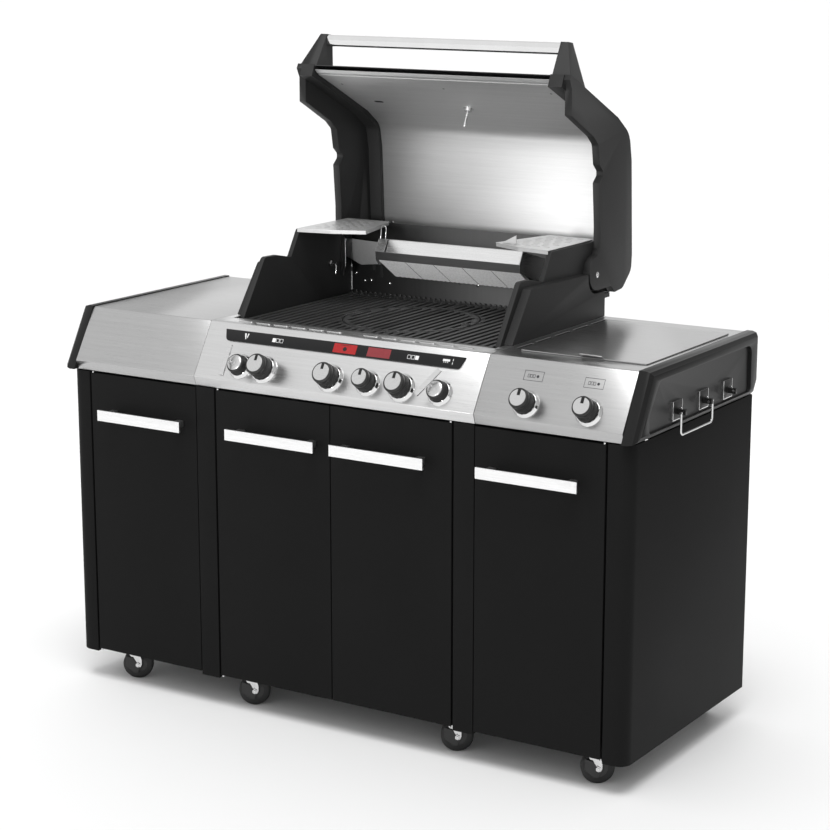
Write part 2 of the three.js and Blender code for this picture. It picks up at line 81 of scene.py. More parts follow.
class Wire:  # a node output that can be used in sums
    def __init__(self, nodes, socket):
        self.nodes = nodes
        self.socket = socket

    def math(self, operation, *values):
        return self.nodes.add("ShaderNodeMath", {"operation": operation}, dict(enumerate(values)))

    def __add__(self, other):
        return self.math("ADD", self, other)

    def __mul__(self, other):
        return self.math("MULTIPLY", self, other)

    def __sub__(self, other):
        return self.math("SUBTRACT", self, other)

    def __rsub__(self, other):
        return self.math("SUBTRACT", other, self)

    __radd__ = __add__
    __rmul__ = __mul__

    def between(self, low, high):  # 0 below low, 1 above high, smooth on the way
        return self.nodes.add("ShaderNodeMapRange", {"interpolation_type": "SMOOTHSTEP"},
                              {"Value": self, "From Min": low, "From Max": high})


class Nodes:  # the nodes of one material or of the studio's air
    def __init__(self, tree):
        self.tree = tree

    def add(self, kind, settings=None, sockets=None, output=0):
        made = self.tree.nodes.new(kind)
        for key, value in (settings or {}).items():
            setattr(made, key, value)
        for key, value in (sockets or {}).items():
            self.plug(made.inputs[key], value)
        return Wire(self, made.outputs[output])

    def plug(self, socket, value):
        if isinstance(value, Wire):
            self.tree.links.new(value.socket, socket)
        else:
            socket.default_value = value


def greyShade(value):
    return (value, value, value, 1)


class Finish(Nodes):  # one material on a Principled surface
    def __init__(self, name, **constants):
        self.material = bpy.data.materials.new(name)
        self.material.use_nodes = True
        super().__init__(self.material.node_tree)
        self.surface = self.tree.nodes["Principled BSDF"]
        self.set(**constants)

    def set(self, **values):  # names as on the shader, without their spaces
        for key, value in values.items():
            for socket in self.surface.inputs:
                if socket.name.replace(" ", "").lower() == key.lower():
                    self.plug(socket, value)
                    break

    def place(self, stretch=(1, 1, 1)):  # the piece's own coordinates in metres
        own = self.add("ShaderNodeTexCoord", output="Object")
        return self.add("ShaderNodeVectorMath", {"operation": "MULTIPLY"}, {0: own, 1: stretch})

    def noise(self, scale, stretch=(1, 1, 1), detail=3.0, roughness=0.5):
        return self.add("ShaderNodeTexNoise", {}, {"Vector": self.place(stretch), "Scale": scale,
                                                   "Detail": detail, "Roughness": roughness})

    def blend(self, factor, first, second):
        shades = [greyShade(shade) if isinstance(shade, (int, float)) else shade for shade in (first, second)]
        return self.add("ShaderNodeMix", {"data_type": "RGBA"}, {0: factor, 6: shades[0], 7: shades[1]},
                        output=2)

    def bump(self, height, depth, strength=1.0):
        return self.add("ShaderNodeBump", {}, {"Height": height, "Distance": depth, "Strength": strength})


# In every finish "tones" are the darkest and lightest shares of its colour, and each "...Rough"
# is how far that noise swings the roughness.
powderLook = {"colour": 0.009, "tones": (0.75, 1.3), "roughness": 0.58, "shine": 0.06, "grain": 900,
              "grainDepth": 0.00006, "grainRough": 0.12, "cloud": 5, "cloudRough": 0.08, "bump": 0.6}


def powderCoat(name):
    look = powderLook
    coat = Finish(name, SpecularIORLevel=look["shine"])
    grain = coat.noise(look["grain"], detail=2.0)
    cloud = coat.noise(look["cloud"], detail=2.0)
    dark, light = [look["colour"] * share for share in look["tones"]]
    rough = look["roughness"] + (grain - 0.5) * look["grainRough"] + (cloud - 0.5) * look["cloudRough"]
    coat.set(basecolor=coat.blend(grain * 0.5 + cloud * 0.5, dark, light), roughness=rough,
             normal=coat.bump(grain, look["grainDepth"], look["bump"]))
    return coat.material


steelLook = {"tones": (0.9, 1.05), "toneRange": (0.3, 0.7), "lines": 1400, "lineLength": 0.012,
             "lineDepth": 0.00001, "lineShare": 0.55, "lineRough": 0.2, "broad": 160, "broadShare": 0.25,
             "cloud": 4, "cloudShare": 0.2, "cloudRough": 0.06, "bump": 0.5}


def brushedSteel(name, along, colour, roughness, metal=1.0):  # brushed along the axes named in along
    look = steelLook
    steel = Finish(name, Metallic=metal)
    stretch = [look["lineLength"] if axis in along else 1.0 for axis in "XYZ"]
    lines = steel.noise(look["lines"], stretch, detail=4.0, roughness=0.7)
    broad = steel.noise(look["broad"], stretch, detail=2.0)
    cloud = steel.noise(look["cloud"], detail=2.0)
    tone = lines * look["lineShare"] + broad * look["broadShare"] + cloud * look["cloudShare"]
    dark, light = [colour * share for share in look["tones"]]
    steel.set(basecolor=steel.blend(tone.between(*look["toneRange"]), dark, light),
              roughness=roughness + (lines - 0.5) * look["lineRough"] + (cloud - 0.5) * look["cloudRough"],
              normal=steel.bump(lines, look["lineDepth"], look["bump"]))
    return steel.material


castLook = {"colour": 0.021, "tones": (0.7, 1.35), "roughness": 0.52, "metal": 0.1, "shine": 0.16,
            "grain": 420, "grainDepth": 0.00012, "grainShare": 0.6, "grainRough": 0.2,
            "cloud": 9, "cloudShare": 0.4, "bump": 0.6, "edgeRange": (0.52, 0.60), "edgeShare": 0.5,
            "edgeTone": 3.2}


def castPaint(name, **changes):  # grainy paint on a casting, lighter where its edges are rubbed
    look = {**castLook, **changes}
    cast = Finish(name, Metallic=look["metal"], SpecularIORLevel=look["shine"])
    grit = cast.noise(look["grain"], detail=3.0, roughness=0.6)
    cloud = cast.noise(look["cloud"], detail=2.0)
    edge = cast.add("ShaderNodeNewGeometry", output="Pointiness").between(*look["edgeRange"])
    dark, light = [look["colour"] * share for share in look["tones"]]
    tone = cast.blend(grit * look["grainShare"] + cloud * look["cloudShare"], dark, light)
    cast.set(basecolor=cast.blend(edge * look["edgeShare"], tone, look["colour"] * look["edgeTone"]),
             roughness=look["roughness"] + (grit - 0.5) * look["grainRough"],
             normal=cast.bump(grit, look["grainDepth"], look["bump"]))
    return cast.material


chromeLook = {"colour": 0.78, "darkTone": 0.92, "roughness": 0.07, "smear": 30, "smearRough": 0.06,
              "wave": 14, "waveDepth": 0.0003, "bump": 0.15}


def chromePlate(name, **changes):
    look = {**chromeLook, **changes}
    plate = Finish(name, Metallic=1.0)
    smear = plate.noise(look["smear"], detail=3.0)
    plate.set(basecolor=plate.blend(smear, look["colour"] * look["darkTone"], look["colour"]),
              roughness=look["roughness"] + (smear - 0.5) * look["smearRough"],
              normal=plate.bump(plate.noise(look["wave"], detail=1.0), look["waveDepth"], look["bump"]))
    return plate.material


glossLook = {"darkTone": 0.85, "coatRoughness": 0.04, "shine": 0.3, "dust": 60, "dustRough": 0.08, "wave": 45,
             "waveDepth": 0.0002, "bump": 0.12}


def gloss(name, colour, roughness, coat=0.8):
    look = glossLook
    glass = Finish(name, CoatWeight=coat, CoatRoughness=look["coatRoughness"], SpecularIORLevel=look["shine"])
    dust = glass.noise(look["dust"], detail=4.0)
    dark = (*[part * look["darkTone"] for part in colour], 1)
    glass.set(basecolor=glass.blend(dust, dark, (*colour, 1)),
              roughness=roughness + (dust - 0.5) * look["dustRough"],
              normal=glass.bump(glass.noise(look["wave"], detail=1.0), look["waveDepth"], look["bump"]))
    return glass.material


spunLook = {"colour": 0.62, "tones": (0.86, 1.06), "roughness": 0.3, "rings": 2600.0, "ringRough": 0.16,
            "ringDepth": 0.00003, "bump": 0.5}


def spunSilver(name):  # turned face with fine rings round its own Z axis
    look = spunLook
    silver = Finish(name, Metallic=1.0)
    flat = silver.place((1, 1, 0))
    radius = silver.add("ShaderNodeVectorMath", {"operation": "LENGTH"}, {0: flat}, output="Value")
    rings = silver.add("ShaderNodeTexNoise", {"noise_dimensions": "1D"},
                       {"W": radius * look["rings"], "Scale": 1.0, "Detail": 3.0})
    dark, light = [look["colour"] * share for share in look["tones"]]
    silver.set(basecolor=silver.blend(rings, dark, light),
               roughness=look["roughness"] + (rings - 0.5) * look["ringRough"],
               normal=silver.bump(rings, look["ringDepth"], look["bump"]))
    return silver.material


mattLook = {"tones": (0.7, 1.4), "roughness": 0.6, "grain": 700, "grainRough": 0.2, "grainDepth": 0.0001,
            "bump": 0.5}


def mattFinish(name, colour, roughness=mattLook["roughness"], grain=mattLook["grain"]):
    look = mattLook
    matt = Finish(name)
    grit = matt.noise(grain, detail=3.0)
    dark, light = [colour * share for share in look["tones"]]
    matt.set(basecolor=matt.blend(grit, dark, light),
             roughness=roughness + (grit - 0.5) * look["grainRough"],
             normal=matt.bump(grit, look["grainDepth"], look["bump"]))
    return matt.material


glowLook = {"darkTone": 0.7, "roughness": 0.25, "haze": 220}


def lampGlow(name, colour, strength):
    lamp = Finish(name, Roughness=glowLook["roughness"])
    haze = lamp.noise(glowLook["haze"], detail=2.0)
    deep = (*[part * glowLook["darkTone"] for part in colour], 1)
    lamp.set(basecolor=lamp.blend(haze, deep, (*colour, 1)),
             emissioncolor=lamp.blend(haze, deep, (*colour, 1)), emissionstrength=strength)
    return lamp.material


cabinetPaint = powderCoat("cabinet powder coat")
panelSteel = brushedSteel("fascia brushed steel", "X", colour=0.66, roughness=0.3)
topSteel = brushedSteel("worktop brushed steel", "X", colour=0.47, roughness=0.3)
handleSteel = brushedSteel("handle brushed steel", "X", colour=0.92, roughness=0.3)
linerSteel = brushedSteel("lid liner steel", "X", colour=0.64, roughness=0.5, metal=0.9)
plainSteel = brushedSteel("pressed steel", "Y", colour=0.5, roughness=0.32)
castBlack = castPaint("anthracite casting")
ironGrate = castPaint("enamelled cast iron", colour=0.024, roughness=0.34, grain=520, grainDepth=0.0002)
barChrome = chromePlate("handle chrome")
wireChrome = chromePlate("wire chrome", colour=0.7, roughness=0.14)
stripGlass = gloss("black control strip", (0.003, 0.003, 0.0035), roughness=0.24, coat=0.05)
lidEnamel = gloss("lid enamel", (0.01, 0.01, 0.011), roughness=0.18)
capSilver = spunSilver("knob face silver")
knobBody = castPaint("knob anthracite", colour=0.03, roughness=0.4, grain=900, grainDepth=0.00006, metal=0.3)
wheelRubber = mattFinish("wheel rubber", colour=0.008)
hubPlastic = mattFinish("hub plastic", colour=0.014, roughness=0.4, grain=500)
capPaint = castPaint("end cap paint", colour=0.01, roughness=0.34, grain=700, grainDepth=0.00008, metal=0.05)
wallSteel = brushedSteel("rear wall steel", "Z", colour=0.1, roughness=0.4)
hoodSteel = brushedSteel("burner hood steel", "X", colour=0.78, roughness=0.26)
bronzeSteel = brushedSteel("heated lip steel", "X", colour=0.2, roughness=0.34)
plateSteel = brushedSteel("warming plate steel", "X", colour=0.5, roughness=0.36, metal=0.55)
ceramic = mattFinish("burner ceramic", colour=0.92, roughness=0.85, grain=260)
# near-black matt for real black parts and print, and also painted shade: black patches standing in for the
# dark inside of slots, holes and ports
blackPaintAndShade = mattFinish("recess black", colour=0.004, roughness=0.8)
iconWhite = gloss("printed white", (0.75, 0.75, 0.75), roughness=0.4, coat=0.0)
iconGrey = gloss("printed grey", (0.05, 0.05, 0.055), roughness=0.4, coat=0.0)
litRed = lampGlow("lit red field", (0.32, 0.002, 0.003), strength=0.15)
dimRed = lampGlow("dim red field", (0.22, 0.02, 0.026), strength=0.05)
print("finishes made")


def boxOf(node):
    low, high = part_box(node)
    return toGrill @ low, toGrill @ high


def at(x, y, z, turn=None):
    return grill @ Matrix.Translation((x, y, z)) @ (turn or Matrix())


def arc(cx, cy, radius, start, end, steps=8):  # points on a circle, angles in degrees
    angles = [math.radians(start + (end - start) * i / steps) for i in range(steps + 1)]
    return [(cx + radius * math.cos(a), cy + radius * math.sin(a)) for a in angles]


def roundedBox(x0, x1, y0, y1, radius, steps=4):
    corners = ((x1 - radius, y0 + radius, -90), (x1 - radius, y1 - radius, 0), (x0 + radius, y1 - radius, 90),
               (x0 + radius, y0 + radius, 180))
    return [point for x, y, start in corners for point in arc(x, y, radius, start, start + 90, steps)]


def addToScene(name, data):
    made = bpy.data.objects.new(name, data)
    bpy.context.scene.collection.objects.link(made)
    return made


class Shape:  # collects closed bodies and makes one piece of them
    def __init__(self, place=None):
        self.bm = bmesh.new()
        self.placing = place or grill

    def loft(self, rings, closed=False):  # rings of equal length, joined in order, with flat ends
        for ring, following in zip(rings, rings[1:] + rings[:1] if closed else rings[1:]):
            for i in range(len(ring)):
                k = (i + 1) % len(ring)
                self.bm.faces.new((ring[i], ring[k], following[k], following[i]))
        if not closed:
            self.bm.faces.new(list(reversed(rings[0])))
            self.bm.faces.new(rings[-1])

    def ring(self, points, place):
        return [self.bm.verts.new(place @ Vector(point)) for point in points]

    def prism(self, points, low, high, place=None):  # outline in local XY pushed along local Z
        self.loft([self.ring([(x, y, z) for x, y in points], place or self.placing) for z in (low, high)])
        return self

    def block(self, low, high, place=None):
        return self.prism([(low[0], low[1]), (high[0], low[1]), (high[0], high[1]), (low[0], high[1])],
                          low[2], high[2], place)

    def turned(self, profile, place=None, steps=48, wave=None):
        # (radius, height) points turned about local Z, with a wave added to the radius
        place = place or self.placing
        rings = []
        for radius, height in profile:
            points = []
            for i in range(steps):
                turn = 2 * math.pi * i / steps
                reach = radius + (wave(turn, height) if wave else 0)
                points.append((reach * math.cos(turn), reach * math.sin(turn), height))
            rings.append(self.ring(points, place))
        self.loft(rings)
        return self

    def hoop(self, profile, place=None, steps=48):  # a closed profile turned into a ring with a hole
        place = place or self.placing
        rings = []
        for i in range(steps):
            turn = 2 * math.pi * i / steps
            rings.append(self.ring([(r * math.cos(turn), r * math.sin(turn), z) for r, z in profile], place))
        self.loft(rings, closed=True)
        return self

    def tube(self, path, radius, steps=12, place=None):
        place = place or self.placing
        points = [Vector(p) for p in path]
        rings = []
        side = None
        for i, point in enumerate(points):
            along = (points[min(i + 1, len(points) - 1)] - points[max(i - 1, 0)]).normalized()
            if side is None:
                side = along.orthogonal().normalized()
            side = (side - along * side.dot(along)).normalized()
            over = along.cross(side)
            rings.append(self.ring([point + radius * (math.cos(t) * side + math.sin(t) * over)
                                    for t in (2 * math.pi * k / steps for k in range(steps))], place))
        self.loft(rings)
        return self

    def sheet(self, path, thickness, x0, x1, place=None):  # folded sheet: path in (y, z), pushed along X
        points = [Vector(p) for p in path]
        inner = []
        for i, point in enumerate(points):
            before = (point - points[i - 1]).normalized() if i else None
            after = (points[i + 1] - point).normalized() if i < len(points) - 1 else before
            before = before or after
            normals = [Vector((-d.y, d.x)) for d in (before, after)]
            mitre = (normals[0] + normals[1]).normalized()
            inner.append(point + mitre * (thickness / mitre.dot(normals[0])))
        outline = points + inner[::-1]
        place = place or self.placing
        self.loft([self.ring([(x, p.x, p.y) for p in outline], place) for x in (x0, x1)])
        return self

    def piece(self, name, body, finish, slotName, edge=0.0, segments=2, angle=30.0, replaced=(),
              cutter=None):
        bmesh.ops.recalc_face_normals(self.bm, faces=self.bm.faces)
        mesh = bpy.data.meshes.new(name)
        self.bm.to_mesh(mesh)
        self.bm.free()
        made = addToScene(name, mesh)
        if cutter:
            cutAway(made, cutter)
        return dressed(made, body, finish, edge * mm, segments, angle, replaced)


def cutAway(piece, cutter):  # takes the cutter's bodies out of the piece for good
    bmesh.ops.recalc_face_normals(cutter.bm, faces=cutter.bm.faces)
    tool = addToScene("cutter", bpy.data.meshes.new("cutter"))
    cutter.bm.to_mesh(tool.data)
    cutter.bm.free()
    saw = piece.modifiers.new("cut", "BOOLEAN")
    saw.operation = "DIFFERENCE"
    saw.solver = "EXACT"
    saw.object = tool
    shaped = bpy.data.meshes.new_from_object(piece.evaluated_get(bpy.context.evaluated_depsgraph_get()))
    piece.modifiers.clear()
    piece.data = shaped
    bpy.data.objects.remove(tool)


def dressed(piece, body, finish, edge=0.0, segments=2, angle=30.0, replaced=()):
    mesh = piece.data
    mesh.materials.clear()
    mesh.materials.append(finish)
    mesh.polygons.foreach_set("use_smooth", [True] * len(mesh.polygons))
    if edge:
        bevel = piece.modifiers.new("rounded edges", "BEVEL")
        bevel.width = edge
        bevel.segments = segments
        bevel.limit_method = "ANGLE"
        bevel.angle_limit = math.radians(angle)
        bevel.harden_normals = True
    else:
        mesh.set_sharp_from_angle(angle=math.radians(angle))
    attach(piece, body)
    if replaced:
        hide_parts(*replaced)
    return piece


softLook = {"weld": 0.01, "flat": 0.6}  # corners closer than weld are one, faces within flat degrees too


def softened(node, finish, edge, segments=2, angle=30.0):
    # the CAD solid with its flat faces merged and its sharp edges rounded off
    mesh = frame["nodes"][node].data.copy()
    bm = bmesh.new()
    bm.from_mesh(mesh)
    bmesh.ops.remove_doubles(bm, verts=bm.verts, dist=softLook["weld"] * mm)
    bmesh.ops.dissolve_limit(bm, angle_limit=math.radians(softLook["flat"]), verts=bm.verts,
                              edges=bm.edges)
    bm.to_mesh(mesh)
    bm.free()
    return dressed(addToScene(node + "_rounded", mesh), bodyOf[node], finish, edge * mm, segments,
                   angle, [node])


screwLook = {"head": 5.0, "foot": -0.6, "height": 1.6, "slot": 1.1, "slotReach": 0.6, "turns": (20, 110),
             "profile": [(1, 0.3), (0.86, 0.75), (0.5, 1)]}


def addScrews(name, body, places, head=screwLook["head"]):
    # pan heads with a cross slot; each place is a matrix whose Z looks out of the surface
    screws = Shape()
    # the cross slots are black bars laid on the heads: painted shade for the recess of each slot
    slots = Shape()
    rise = screwLook["height"] * head / screwLook["head"]
    half, reach = screwLook["slot"] / 2, head * screwLook["slotReach"]
    for place in places:
        dome = [(head * out, up * rise) for out, up in screwLook["profile"]]
        screws.turned([(head, screwLook["foot"])] + dome + [(0.4, rise * 1.04)], place, 20)
        for turn in screwLook["turns"]:
            crossed = place @ Matrix.Rotation(math.radians(turn), 4, "Z")
            slots.block((-reach, -half, rise), (reach, half, rise * 1.1), crossed)
    screws.piece(name, body, wireChrome, "chrome", angle=40)
    slots.piece(name + "_slots", body, blackPaintAndShade, "tyre_rubber")


doors = ["left_door", "centre_left_door", "centre_right_door", "right_door"]
cabinetLook = {"panelEdge": 0.8, "doorEdge": 1.8, "handleEdge": 1.4,
               "pin": [(0.4, -3.8), (3.0, -3.4), (3.0, 3.4), (0.4, 3.8)],
               "catch": 12, "catchDepth": (27, 45), "catchHeight": (101.2, 112),
               "screwColumn": 376, "screwSide": 12, "screwFoot": 14, "screwHead": 20,
               "vents": (-570, 0, 570), "ventRows": 3, "ventTop": 640, "ventPitch": 28, "ventHalf": 90,
               "hoodPath": [(-1, 10), (2.4, 9), (4.5, 2)], "hoodSkin": 1.2}


def dressCabinet():
    look = cabinetLook
    for node in ["left_side_panel", "right_side_panel", "left_partition", "right_partition", "base_panel",
                 "back_panel"]:
        softened(node, cabinetPaint, look["panelEdge"])
    for node in doors:
        softened(node, cabinetPaint, look["doorEdge"], 3)
        softened(node + "_handle", handleSteel, look["handleEdge"], 3)
    pins = Shape()
    catches = Shape()
    catch = look["catch"]
    for door in doors:
        low, high = boxOf(door)
        hinge = hingeAt[door]
        for z in (low.z, high.z):
            pins.turned(look["pin"], at(hinge.x, hinge.y, z), 20)
        side = 1 if hinge.x > (low.x + high.x) / 2 else -1
        x = (low.x if side > 0 else high.x) + side * 1.5 * catch  # at the door's free edge, on the floor panel
        (y0, y1), (z0, z1) = look["catchDepth"], look["catchHeight"]
        catches.block((x - catch, y0, z0), (x + catch, y1, z1))
    pins.piece("door_hinge_pins", "cabinet", wireChrome, "chrome", angle=40)
    catches.piece("door_magnets", "cabinet", blackPaintAndShade, "tyre_rubber", 0.8)
    low, high = boxOf("back_panel")
    rows = [low.z + look["screwFoot"], (low.z + high.z) / 2, high.z - look["screwHead"]]
    column, side = look["screwColumn"], look["screwSide"]
    columns = [low.x + side, -column, column, high.x - side]
    addScrews("back_panel_screws", "cabinet",
              [at(x, high.y, z, facingFront.inverted()) for x in columns for z in rows])
    hoods = Shape()
    for x in look["vents"]:
        for row in range(look["ventRows"]):
            z = look["ventTop"] - look["ventPitch"] * row
            hoods.sheet([(high.y + out, z + up) for out, up in look["hoodPath"]], look["hoodSkin"],
                        x - look["ventHalf"], x + look["ventHalf"])
    hoods.piece("vent_hoods", "cabinet", cabinetPaint, "powder_coat", 0.3)


worktopLook = {"edge": 0.9, "stripEdge": 0.8, "hoods": 6, "hoodPitch": 50, "hoodLength": 40, "hoodWidth": 9,
               "hoodRow": 95, "hoodFoot": 928.5, "hoodTop": 930.6,
               "backing": [(393, 146, 925.2), (407, 574, 926.6)]}


def dressWorktop():
    look = worktopLook
    softened("left_worktop", topSteel, look["edge"])
    softened("right_worktop", topSteel, look["edge"])
    softened("control_fascia", panelSteel, look["edge"])
    softened("control_strip", stripGlass, look["stripEdge"])
    hoods = Shape()  # pressed hoods over the slots between the panel and the grates
    half, wide, row = look["hoodLength"] / 2, look["hoodWidth"] / 2, look["hoodRow"]
    for k in range(-look["hoods"], look["hoods"] + 1):
        if k:
            x = look["hoodPitch"] * k
            hoods.prism(roundedBox(x - half, x + half, row - wide, row + wide, wide - 0.2),
                        look["hoodFoot"], look["hoodTop"])
    hoods.piece("rim_hoods", "cabinet", panelSteel, "brushed_steel", 1.3, 3)
    backing = Shape()  # black sheet under the slots beside the firebox: painted shade for the dark recess below them
    backing.block(*look["backing"])
    backing.piece("slot_backing", "cabinet", blackPaintAndShade, "cast_iron")


iconLook = {"line": 0.9, "print": 0.25, "stripTop": 3.5, "steelTop": 0.0,
            "zone": 9.0, "zoneHeight": 9.5, "zoneGap": 1.4, "zoneRow": 105, "zones": [(-190, 0), (178, 2)],
            "torch": [[(-271, 118), (-266, 104), (-263.5, 104), (-266.5, 118)],
                      [(-262, 118), (-262.5, 106), (-260.5, 108), (-258.5, 118)]],
            "spit": [(270, 288, 110, 115), (272, 274, 106.5, 109), (277, 279, 106.5, 109),
                     (282, 284, 106.5, 109), (295, 296.5, 104, 109), (295, 296.5, 112, 117)],
            "litField": (-20, 42), "dimField": (72, 133), "fieldRow": (99, 121),
            "lamp": (11, 109), "lampRadius": 5, "lampBar": (-2, 24, 117.5, 118.6),
            "bars": 5, "barStart": 81, "barPitch": 9, "barWidth": 7, "barRow": (106, 113.5),
            "burnerSigns": (476, 622), "sign": (47, 23), "signFoot": 91,
            "cells": (9, 6.4, 98), "cell": (5.4, 8), "dot": (33.5, 102), "dotRadius": 3.2}


def outlineBox(shape, x, y, width, height, low, place):  # four thin bars round a box
    line = iconLook["line"]
    high = low + iconLook["print"]
    for x0, x1, y0, y1 in ((x, x + width, y, y + line), (x, x + width, y + height - line, y + height),
                           (x, x + line, y, y + height), (x + width - line, x + width, y, y + height)):
        shape.block((x0, y0, low), (x1, y1, high), place)


def addZones(shape, x, filled):  # three squares side by side, one of them filled
    look = iconLook
    y, low, size, height = look["zoneRow"], look["stripTop"], look["zone"], look["zoneHeight"]
    for k in range(3):
        left = x + k * (size + look["zoneGap"])
        if k == filled:
            shape.block((left, y, low), (left + size, y + height, low + look["print"]), panel)
        else:
            outlineBox(shape, left, y, size, height, low, panel)


def printIcons():
    look = iconLook
    top = look["stripTop"]
    raised = top + look["print"]
    white = Shape(panel)
    for x, filled in look["zones"]:
        addZones(white, x, filled)
    for outline in look["torch"]:
        white.prism(outline, top, raised)
    for x0, x1, y0, y1 in look["spit"]:
        white.block((x0, y0, top), (x1, y1, raised))
    white.piece("strip_icons", "cabinet", iconWhite, "knob_silver")

    for name, (x0, x1), glow in (("lit_field_left", look["litField"], litRed),
                                 ("lit_field_right", look["dimField"], dimRed)):
        field = Shape(panel)
        field.prism(roundedBox(x0, x1, *look["fieldRow"], 1.0), top - 1, raised)
        field.piece(name, "cabinet", glow, "black_glass")
    marks = Shape(panel)
    lamp = look["lampRadius"]
    marks.turned([(lamp, raised), (lamp, raised + 0.4), (0.3, raised + 0.5)],
                 panel @ Matrix.Translation((*look["lamp"], 0)), 24)
    x0, x1, y0, y1 = look["lampBar"]
    marks.block((x0, y0, raised - 0.1), (x1, y1, raised + 0.2))
    marks.piece("lit_field_marks", "cabinet", blackPaintAndShade, "black_glass")
    bars = Shape(panel)
    for k in range(look["bars"]):
        x, (y0, y1) = look["barStart"] + look["barPitch"] * k, look["barRow"]
        bars.block((x, y0 + (k % 2), raised - 0.1), (x + look["barWidth"], y1 + (k % 2), raised + 0.15))
    bars.piece("lit_field_bars", "cabinet", dimRed, "black_glass")

    signs = Shape(panel)
    low = look["steelTop"]
    start, pitch, foot = look["cells"]
    for x in look["burnerSigns"]:
        outlineBox(signs, x, look["signFoot"], *look["sign"], low, panel)
        for k in range(3):
            outlineBox(signs, x + start + pitch * k, foot, *look["cell"], low, panel)
        signs.turned([(look["dotRadius"], low), (look["dotRadius"], low + 0.3), (0.2, low + 0.35)],
                     panel @ Matrix.Translation((x + look["dot"][0], look["dot"][1], 0)), 20)
    signs.piece("side_burner_icons", "cabinet", iconGrey, "black_glass")


# Both profiles add to the knob's radius: the first counts from the panel, the second from the face.
knobLook = {"row": 37, "foot": 0.5, "reach": 44, "face": 0.75, "ribs": 44, "ribDepth": 0.45, "ribsFrom": 9,
            "ribsTo": 13, "skirt": [(-0.4, 0), (0, 0.6), (0, 8.6), (-0.9, 9.4), (-0.9, 10.4), (-0.5, 11.2)],
            "grip": [(-1.4, -13.5), (-2.2, -12.8), (-2.2, -11.4), (-1.5, -10.6), (-1.9, -4.2), (-2.8, -2.4)],
            "faceDrop": 1.2, "capProud": 1.1, "pointerWidth": 7.4, "pointerLength": 13.5,
            "bezelWiden": 6.5, "bezelRise": 8.5, "dashes": 14, "dashHalf": 6, "dashBand": (4.6, 8.2)}
burnerKnobs = {"left_burner_knob": 27, "middle_burner_knob": 27, "rear_burner_knob": 24,
               "right_burner_knob": 27, "side_burner_front_knob": 25, "side_burner_rear_knob": 25}
leverLook = {"radius": 24, "stud": [(4.6, 28), (4.6, 33), (3.6, 34), (3.6, 39)], "studAt": -14,
             "bar": (-22, -10, -38, 38, 2.2), "barRise": (38, 43),
             "body": [(23.6, 0), (24, 0.6), (24, 9), (23, 10), (22.6, 24), (21.4, 26.4), (20, 27.4),
                      (19, 27.4), (18.6, 26.6), (0.3, 26.6)],
             "face": [(18.2, 26.4), (18.4, 28.4), (17.6, 29.2), (9, 29.9), (5, 29.4), (4.4, 30.2),
                      (0.3, 30.3)]}
leverKnobs = {"left_lever_knob": 0, "right_lever_knob": -34}  # how far each lever is turned


def ribbed(reach):
    def wave(turn, height):
        inside = knobLook["ribsFrom"] < height < reach - knobLook["ribsTo"]
        return knobLook["ribDepth"] * (math.cos(turn * knobLook["ribs"]) if inside else 0)
    return wave


def addBezel(name, place, radius):
    outer = radius + knobLook["bezelWiden"]
    rise = knobLook["bezelRise"]
    ring = Shape(place)
    ring.hoop([(radius + 0.7, -0.3), (outer, -0.3), (outer, 1.2), (outer - 1.4, 2.4),
               (radius + 2.6, rise - 0.8), (radius + 1.9, rise), (radius + 1.1, rise),
               (radius + 0.7, rise - 1)], steps=64)
    ring.piece(name + "_bezel", "cabinet", barChrome, "chrome", angle=50)


def buildBurnerKnob(name, radius):
    look = knobLook
    reach, foot = look["reach"], look["reach"] - look["faceDrop"]
    rim = radius * look["face"]
    half, inner = look["pointerWidth"] / 2, rim - look["pointerLength"]
    place = panel @ Matrix.Translation((hingeAt[name].x, look["row"], look["foot"]))
    body = Shape(place)
    body.turned([(radius + out, up) for out, up in look["skirt"]]
                + [(radius + out, reach + up) for out, up in look["grip"]]
                + [(rim + 0.8, foot), (0.3, foot)], steps=176, wave=ribbed(reach))
    body.piece(name + "_body", name, knobBody, "knob_silver", angle=50, replaced=[name])
    notch = math.degrees(math.asin(half / rim))  # the face stops on both sides of the pointer
    face = Shape(place)
    face.prism(arc(0, 0, rim, 90 + notch, 450 - notch, 72) + [(half, inner), (-half, inner)],
               reach - 1.6, foot + look["capProud"])
    face.piece(name + "_face", name, capSilver, "knob_silver", 0.35, 3)
    pointer = Shape(place)
    pointer.prism([(0.5 - half, inner + 0.6), (half - 0.5, inner + 0.6), (half - 0.5, rim + 0.6),
                   (0.5 - half, rim + 0.6)], reach - 1.4, reach - 0.8)
    pointer.piece(name + "_pointer", name, blackPaintAndShade, "knob_silver", 0.2)
    dashes = Shape(place)
    for k in range(look["dashes"]):
        middle = 90 + (k + 0.5) * 360 / look["dashes"]
        start, end = middle - look["dashHalf"], middle + look["dashHalf"]
        dashes.prism(arc(0, 0, radius + 0.25, start, end, 4) + arc(0, 0, radius - 0.5, end, start, 4),
                     *look["dashBand"])
    dashes.piece(name + "_dashes", name, iconWhite, "knob_silver")
    addBezel(name, place, radius)


def buildLeverKnob(name, turn):
    look = leverLook
    place = (panel @ Matrix.Translation((hingeAt[name].x, knobLook["row"], knobLook["foot"]))
             @ Matrix.Rotation(math.radians(turn), 4, "Z"))
    body = Shape(place)
    body.turned(look["body"], steps=64)
    body.piece(name + "_body", name, knobBody, "knob_silver", angle=50, replaced=[name])
    face = Shape(place)
    face.turned(look["face"], steps=64)
    face.piece(name + "_face", name, capSilver, "knob_silver", angle=50)
    bar = Shape(place)
    bar.turned(look["stud"], place @ Matrix.Translation((look["studAt"], 0, 0)), 32)
    bar.prism(roundedBox(*look["bar"]), *look["barRise"])
    bar.piece(name + "_bar", name, panelSteel, "knob_silver", 0.9, 3)
    addBezel(name, place, look["radius"])


